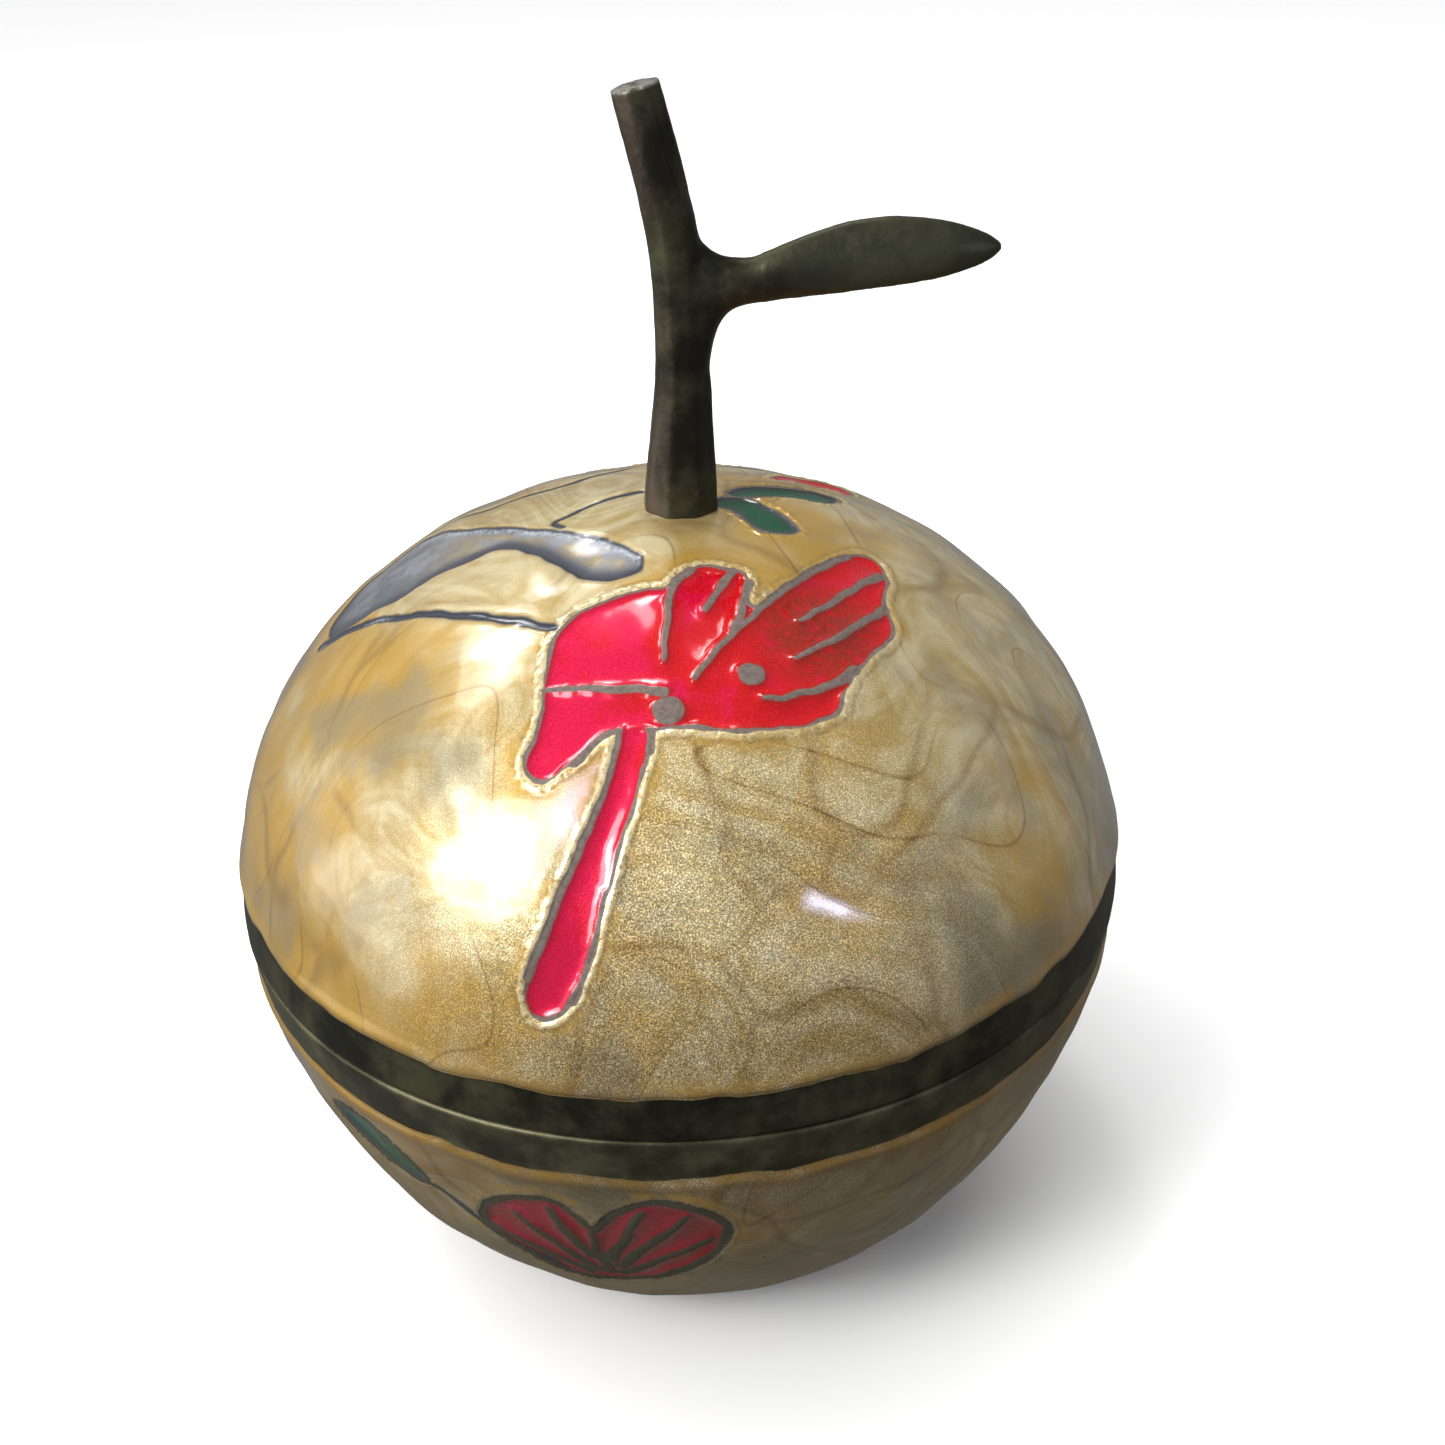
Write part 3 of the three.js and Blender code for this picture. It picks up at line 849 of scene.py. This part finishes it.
def buildLid():
    plan = shellPlan
    part = plan["lid"]
    base = lidLow.z / mm
    lidCurve["end"] = lidCurve["rise"] + 1
    inner = plan["seamRadius"] - plan["wall"]
    register = plan["lipHeight"] + plan["clearance"]
    rim = [(skinRadius(d, lidCurve), d) for d in np.arange(0, part["rimEnd"], plan["rimStep"])]
    dome = skinLine(lidCurve, part["rimEnd"], lidCurve["rise"], plan["step"])
    inside = skinLine(lidCurve, register + 3, lidCurve["rise"], plan["insideStep"])
    inside = insetLine(inside, lidCurve, plan["wall"])
    profile = [(inner, 0), *rim, *dome, *inside[::-1], (inner, register), (inner, 0)]
    profile = [(0.0 if r < 0.03 else r, base + d) for r, d in profile]
    bm = turnedShell(profile, part["turns"])
    near = patternNear(bm, lidCurve, base, 1, lidChart, lidMasks, part["refined"])
    refine(bm, near, part["cuts"])
    masks = dressShell(bm, lidCurve, base, 1, part, lidChart, lidMasks)
    finishPiece("enamel_lid", bm, enamel, "lid", masks)


buildLid()


# Bowl: its pattern is unrolled round the middle of the front, in millimetres along and below the seam.
bowlPattern = {
    "petals": [(-20.5, 16.5), (-19.0, 12.5), (-15.5, 9.4), (-12.0, 8.7), (-10.0, 11.0), (-9.0, 13.8),
               (-7.4, 10.4), (-4.8, 7.8), (-1.5, 7.6), (1.4, 9.6), (2.9, 12.4), (1.8, 17.0), (-2.5, 21.5),
               (-7.0, 24.5), (-11.5, 25.0), (-16.5, 21.5)],
    "wires": [[(-9.2, 13.6), (-9.2, 18.0), (-8.8, 22.5)], [(-16.0, 12.5), (-13.0, 17.0), (-10.2, 22.0)],
              [(-19.0, 16.5), (-14.5, 19.5), (-11.0, 23.0)], [(-12.6, 10.4), (-11.4, 14.5), (-10.0, 18.5)],
              [(-4.6, 9.4), (-6.2, 14.0), (-8.2, 19.0)], [(-0.8, 10.0), (-4.0, 15.0), (-7.6, 20.6)],
              [(1.2, 14.4), (-3.2, 18.0), (-7.4, 22.4)]],
    "leaf": [(-36.0, 8.5), (-31.0, 6.8), (-26.5, 9.0), (-24.0, 13.0), (-28.0, 13.6), (-33.0, 12.0)],
    "stem": [(-24.5, 12.8), (-21.5, 15.5), (-18.0, 19.5), (-13.0, 24.0)],
    "wireHalf": (0.30, 0.70),
    "outline": 0.30,
    "round": 42.0,
    "repeats": 3,
    "middle": -16.0,
}


def bowlChart(radius, distance, angle):
    turn = (angle + math.pi / 2 + math.pi) % (2 * math.pi) - math.pi
    return np.stack([turn * bowlPattern["round"], distance], 1)


def bowlMasks(places):
    plan = bowlPattern
    length = 2 * math.pi * plan["round"]
    span = length / plan["repeats"]
    middle = plan["middle"]
    local = places.copy()
    local[:, 0] = (places[:, 0] - middle + span / 2) % span - span / 2 + middle
    local = handDrawn(local, flowerPlan["wobble"], flowerPlan["wobbleSize"])
    red = unionDistance(local, [plan["petals"]])
    green = unionDistance(local, [plan["leaf"]])
    wire = borderWire(local, np.minimum(abs(red), abs(green))) - plan["outline"]
    for line in plan["wires"]:
        wire = np.minimum(wire, strokeDistance(local, rounded(line, False), *plan["wireHalf"]))
    steel = lineDistance(local, rounded(plan["stem"], False)) - leafPlan["stemHalf"]
    far = np.full(len(places), 1e2)
    return {"redArea": red, "greenArea": green, "steelArea": steel, "wireLine": wire, "pinkArea": far,
            "steelShadedEdge": steel, "steelLitEdge": far}


def buildBowl():
    plan = shellPlan
    part = plan["bowl"]
    lipTop = bowlHigh.z / mm
    seam = lipTop - plan["lipHeight"]
    bowlCurve["end"] = seam - 0.02
    lip = plan["seamRadius"] - plan["wall"] - plan["clearance"]
    lipIn = lip - plan["lipThickness"]
    rim = [(skinRadius(d, bowlCurve), d) for d in np.arange(0, part["rimEnd"], plan["rimStep"])]
    side = skinLine(bowlCurve, part["rimEnd"], seam, plan["step"])
    inside = skinLine(bowlCurve, plan["lipRoot"] + 1.5, seam - 2 * plan["wall"], plan["insideStep"])
    inside = insetLine(inside, bowlCurve, plan["wall"])
    footRing = side[-1][0]
    ringIn = footRing - plan["footWidth"]
    recess = seam - plan["footRecess"]
    underside = [(footRing - 0.5, seam), (ringIn, seam), (footRing - 3.4, recess), (8, recess), (0, recess)]
    floor = [(footRing - plan["wall"], seam - plan["wall"]), (0, seam - plan["wall"])]
    profile = [*underside[::-1], *side[::-1], *rim[::-1], (lip, 0), (lip, -plan["lipHeight"]),
               (lipIn, -plan["lipHeight"]), (lipIn, plan["lipRoot"]), *inside, *floor]
    profile = [(r, seam - d) for r, d in profile]
    bm = turnedShell(profile, part["turns"])
    near = patternNear(bm, bowlCurve, seam, -1, bowlChart, bowlMasks, part["refined"])
    refine(bm, near, part["cuts"])
    masks = dressShell(bm, bowlCurve, seam, -1, part, bowlChart, bowlMasks)
    finishPiece("enamel_bowl", bm, bowlEnamel, "bowl", masks)


buildBowl()


# Twig: rings of an octagonal section extruded along the stem, and of an oval along the leaf
twigPlan = {
    "footOffset": 1.2,
    "height": 36.6,
    "bends": ((0, 0), (0.016, 0.33), (0.006, 0.65), (-0.069, 1)),       # aside and up, of the height
    "sink": 0.45,
    "footRadius": 3.65,
    "stemRadius": 2.85,
    "tipRadius": 2.2,
    "flareHeight": 13,
    "corner": 1.0,
    "facetTurn": -0.06,
    "sides": 48,
    "steps": 60,
    "leafSteps": 80,
    "branchHeight": 20.4,
    "branchRadius": 2.0,
    "branchThickness": 1.6,
    "branchReach": 7.0,
    "forkFillet": 0.9,
    "forkSpread": 4.1,
    "forkDrop": 2.6,
    "forkDepth": 0.5,
    "leafLength": 21.7,
    "leafHalfWidth": 2.8,
    "leafWidest": 0.48,
    "leafTip": (1.9, 0.62),
    "leafHalfThickness": 1.15,
    "leafRise": 2.2,
    "leafTwistDeg": 20,
    "voxel": 0.22,
    "forkFrom": 2.6,
    "forkTo": 9.0,
    "forkReach": 8.0,
    "forkSmooth": 30,
    "lumps": ((0.05, 2.6, 2.0, 3), (0.07, 9.0, 5.0, 2)),    # height, size, seed and octaves
}


def curvePoint(points, share):              # Catmull-Rom through a few points
    line = [Vector(p) for p in points]
    line = [2 * line[0] - line[1], *line, 2 * line[-1] - line[-2]]
    place = min(share * (len(points) - 1), len(points) - 1 - 1e-6)
    i = int(place)
    t = place - i
    a, b, c, d = line[i:i + 4]
    return 0.5 * (2 * b + (c - a) * t + (2 * a - 5 * b + 4 * c - d) * t * t
                  + (3 * b - a - 3 * c + d) * t ** 3)


def bridgedRings(bm, sides, sections):
    before = None
    for section in sections:
        closed = section in (sections[0], sections[-1])
        ring = bmesh.ops.create_circle(bm, cap_ends=closed, radius=1, segments=sides)["verts"]
        for vert, place in zip(ring, section):
            vert.co = place
        edges = [e for e in bm.edges if e.verts[0] in ring and e.verts[1] in ring]
        if before:
            bmesh.ops.bridge_loops(bm, edges=before + edges)
        before = edges


def stemLine(plan):
    foot, height = plan["footOffset"], plan["height"]
    return [(foot + aside * height, 0, up * height) for aside, up in plan["bends"]]


def stemSections(plan):
    facet = math.pi / 4
    line = stemLine(plan)
    sections = []
    for step in range(plan["steps"] + 1):
        share = step / plan["steps"]
        centre = curvePoint(line, share)
        along = (curvePoint(line, min(1, share + 0.02)) - curvePoint(line, max(0, share - 0.02))).normalized()
        if step == 0:
            along = Vector((0, 0, 1))
            centre.z -= plan["sink"]
        across = Vector((along.z, 0, -along.x))
        taper = plan["stemRadius"] + (plan["tipRadius"] - plan["stemRadius"]) * share
        flare = (plan["footRadius"] - plan["stemRadius"]) * max(0, 1 - centre.z / plan["flareHeight"])
        ring = []
        for i in range(plan["sides"]):
            angle = 2 * math.pi * i / plan["sides"]
            turn = angle + facet * plan["facetTurn"]
            fromFlat = turn - facet * round(turn / facet)
            flat = math.cos(facet / 2) / math.cos(fromFlat)
            radius = (taper + flare) * (1 - plan["corner"] * (1 - flat))
            ring.append(centre + across * radius * math.cos(angle) + Vector((0, radius * math.sin(angle), 0)))
        sections.append(ring)
    return sections


def bladeHalfWidth(share, plan):
    widest = plan["leafWidest"]
    fall, blunt = plan["leafTip"]
    if share < widest:
        swell = math.sin(math.pi / 2 * share / widest)
        return plan["branchRadius"] + (plan["leafHalfWidth"] - plan["branchRadius"]) * swell
    toTip = (share - widest) / (1 - widest)
    return plan["leafHalfWidth"] * (1 - toTip ** fall) ** blunt


def leafSections(plan):
    sections = []
    root = 0.85 * plan["stemRadius"]
    end = plan["branchReach"] + 0.997 * plan["leafLength"]
    steps = plan["leafSteps"]
    for step in range(steps + 1):
        reach = root + (end - root) * math.sin(math.pi / 2 * step / steps)
        share = max(0, (reach - plan["branchReach"]) / plan["leafLength"])
        fork = math.exp(-max(0, reach - plan["stemRadius"]) / plan["forkFillet"])
        halfHeight = bladeHalfWidth(share, plan) + plan["forkSpread"] * fork
        thin = float(smoothStep(0, 0.35, share))
        taper = min(1, bladeHalfWidth(share, plan) / plan["branchRadius"])
        body = plan["branchThickness"] + (plan["leafHalfThickness"] - plan["branchThickness"]) * thin
        halfDepth = body * taper + plan["forkDepth"] * fork
        climb = plan["leafRise"] * math.sin(math.pi / 2 * min(1, share / 0.65))
        height = plan["branchHeight"] + climb - plan["forkDrop"] * fork
        twist = math.radians(plan["leafTwistDeg"]) * thin
        ring = []
        for i in range(plan["sides"]):
            angle = 2 * math.pi * i / plan["sides"]
            up = halfHeight / math.cos(twist) * math.cos(angle)
            deep = halfDepth * math.sin(angle)
            ring.append(Vector((plan["footOffset"] + reach, up * math.sin(twist) - deep * math.cos(twist),
                                height + up * math.cos(twist) + deep * math.sin(twist))))
        sections.append(ring)
    return sections


def buildTwig():
    plan = twigPlan
    bm = bmesh.new()
    bridgedRings(bm, plan["sides"], stemSections(plan))
    bridgedRings(bm, plan["sides"], leafSections(plan))
    bmesh.ops.recalc_face_normals(bm, faces=bm.faces)
    rough = bpy.data.meshes.new("twig_rough")
    bm.to_mesh(rough)
    bm.free()
    holder = bpy.data.objects.new("twig_rough", rough)
    scene.collection.objects.link(holder)
    remesh = holder.modifiers.new("remesh", "REMESH")
    remesh.mode = "VOXEL"
    remesh.voxel_size = plan["voxel"]
    fused = bpy.data.meshes.new_from_object(holder.evaluated_get(bpy.context.evaluated_depsgraph_get()))
    bpy.data.objects.remove(holder)
    bm = bmesh.new()
    bm.from_mesh(fused)
    fork = [v for v in bm.verts if plan["forkFrom"] < v.co.x < plan["forkTo"]
            and abs(v.co.z - plan["branchHeight"]) < plan["forkReach"]]
    for verts, rounds in ((bm.verts[:], 2), (fork, plan["forkSmooth"])):
        for _ in range(rounds):
            bmesh.ops.smooth_vert(bm, verts=verts, factor=0.5, use_axis_x=True, use_axis_y=True,
                                  use_axis_z=True)
    points = np.array([v.co for v in bm.verts])
    bm.normal_update()
    lumps = sum(height * roughness(points, *rest) for height, *rest in plan["lumps"])
    top = curvePoint(stemLine(plan), 1)
    along = (top - curvePoint(stemLine(plan), 0.98)).normalized()
    masks = {"sawnEnd": (points - np.array(top)) @ np.array(along)}
    for vert, lump in zip(bm.verts, lumps):
        vert.co += vert.normal * float(lump)
    bmesh.ops.translate(bm, vec=(0, 0, twigLow.z / mm), verts=bm.verts)
    finishPiece("cast_twig", bm, darkBrass, "twig_handle", masks)


buildTwig()
print("pieces made")


# Floor and light
stagePlan = {
    "floorHalf": 20000,
    "floorColour": rgb(0.88, 0.88, 0.87),
    "wallRadius": 2500,
    "wallHeight": 5000,
    "wallColour": rgb(0.97, 0.97, 0.96),
    "shadePlace": (25, 5, -1),
    "shadeRadius": 75,
    "shadeColour": rgb(0.085, 0.078, 0.062),
    "skyColour": (0.95, 0.97, 1.0, 1),
    "skyStrength": 0.22,
    "sun": {"from": (-0.22, 0.30, 0.93), "angleDeg": 85, "strength": 2.75},
    "panes": [
        {"name": "left_pane", "place": (-430, -325, 450), "size": (300, 400), "watts": 4.6},
        {"name": "rear_pane", "place": (-350, 262, 562), "size": (260, 150), "watts": 0.75},
        {"name": "small_pane", "place": (-190, 420, 527), "size": (110, 80), "watts": 0.14},
        {"name": "top_pane", "place": (-40, 300, 690), "size": (120, 220), "watts": 0.7},
        {"name": "left_wall", "place": (-820, -120, 150), "size": (900, 560), "watts": 1.6},
        {"name": "right_wall", "place": (760, 120, 90), "size": (500, 420), "watts": 2.6,
         "mirrored": False},
        {"name": "spot_pane", "place": (385, -511, 320), "size": (90, 90), "watts": 0.30,
         "colour": (0.62, 0.66, 1.0)},
    ],
    "softness": ((0.6, 0.35), (1.2, 0.65)),  # size and power of two panes in one place
    "nesting": 0.01,
    "target": (0, 0, 50),
}


def stageSheet(name, bm, colour, glow, unseenBy):
    mesh = bpy.data.meshes.new(name)
    bm.to_mesh(mesh)
    bm.free()
    sheet = bpy.data.objects.new(name, mesh)
    scene.collection.objects.link(sheet)
    paint = Paint(name)
    paint.shade(BaseColor=colour, Roughness=1, EmissionColor=colour, EmissionStrength=glow)
    paint.put(paint.shader.inputs["Specular IOR Level"], 0)
    mesh.materials.append(paint.material)
    for rays in unseenBy:
        setattr(sheet, "visible_" + rays, False)


def addLamp(name, kind, matrix, mirrored):
    light = bpy.data.lights.new(name, kind)
    lamp = bpy.data.objects.new(name, light)
    lamp.matrix_world = matrix
    lamp.visible_glossy = mirrored
    scene.collection.objects.link(lamp)
    return light


def addStage(plan):
    bm = bmesh.new()                        # the floor throws no light back up onto the box
    bmesh.ops.create_grid(bm, x_segments=1, y_segments=1, size=plan["floorHalf"] * mm)
    stageSheet("floor", bm, plan["floorColour"], 0, ("diffuse", "glossy"))
    bm = bmesh.new()                        # a pale wall far all round, seen by the camera alone
    bmesh.ops.create_cone(bm, cap_ends=False, segments=96, radius1=plan["wallRadius"] * mm,
                          radius2=plan["wallRadius"] * mm, depth=plan["wallHeight"] * mm)
    stageSheet("backdrop", bm, plan["wallColour"], 1, ("diffuse", "glossy", "shadow"))
    bm = bmesh.new()                        # the shaded ground that the bowl mirrors, hidden by the floor
    bmesh.ops.create_circle(bm, cap_ends=True, segments=64, radius=plan["shadeRadius"] * mm,
                            matrix=Matrix.Translation(Vector(plan["shadePlace"]) * mm))
    stageSheet("shade", bm, plan["shadeColour"], 1, ("shadow",))
    world = bpy.data.worlds.new("studio")
    world.use_nodes = True
    background = world.node_tree.nodes["Background"]
    background.inputs["Color"].default_value = plan["skyColour"]
    background.inputs["Strength"].default_value = plan["skyStrength"]
    scene.world = world
    turn = Vector(plan["sun"]["from"]).to_track_quat("Z", "Y").to_matrix().to_4x4()
    sun = addLamp("soft_sun", "SUN", turn, False)       # only the panes show as reflections
    sun.angle = math.radians(plan["sun"]["angleDeg"])
    sun.energy = plan["sun"]["strength"]
    for pane, (size, power) in itertools.product(plan["panes"], plan["softness"]):
        place = Vector(pane["place"]) * mm * (1 + plan["nesting"] * size)
        turn = (Vector(plan["target"]) * mm - place).to_track_quat("-Z", "Y").to_matrix().to_4x4()
        matrix = Matrix.Translation(place) @ turn
        light = addLamp(pane["name"], "AREA", matrix, pane.get("mirrored", True))
        light.shape = "ELLIPSE"
        light.size, light.size_y = (side * size * mm for side in pane["size"])
        light.energy = pane["watts"] * power
        light.color = pane.get("colour", (1, 1, 1))


addStage(stagePlan)
print("stage made")
